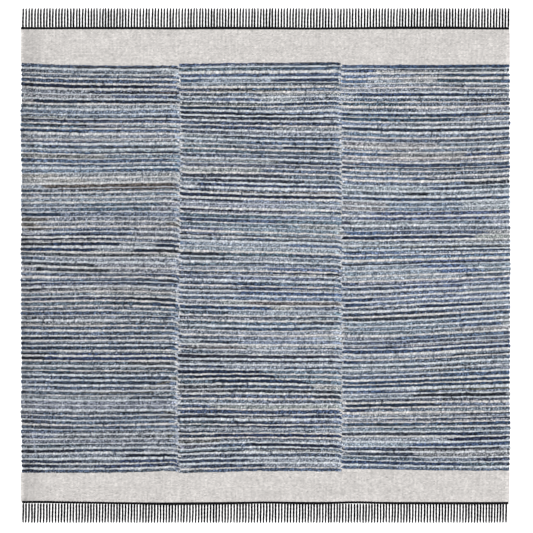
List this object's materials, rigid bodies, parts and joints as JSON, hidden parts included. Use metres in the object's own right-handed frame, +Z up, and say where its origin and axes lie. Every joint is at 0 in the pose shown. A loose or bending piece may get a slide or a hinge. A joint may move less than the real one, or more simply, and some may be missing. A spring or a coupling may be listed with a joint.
{
  "type": "kilim rug",
  "caption": "Flat, nearly square flatwoven rug with blue and cream cross stripes in columns, plain cream end bands, dark edgings and a dark cord fringe at both ends.",
  "frame": {"origin": "on the floor, under the middle of the rug with its fringes", "axes": "+Z up from the floor, +Y along the rug towards its far fringe, +X across it to the right"},
  "size_m": [1.8419, 1.931, 0.006],
  "materials": {
    "woven_cloth": "matte woven rag yarn, blue and cream",
    "charcoal_yarn": "matte twisted cotton cord"
  },
  "bodies": {
    "root": {"rug_body": "woven_cloth", "fringe_far": "charcoal_yarn", "fringe_near": "charcoal_yarn"}
  },
  "joints": []
}
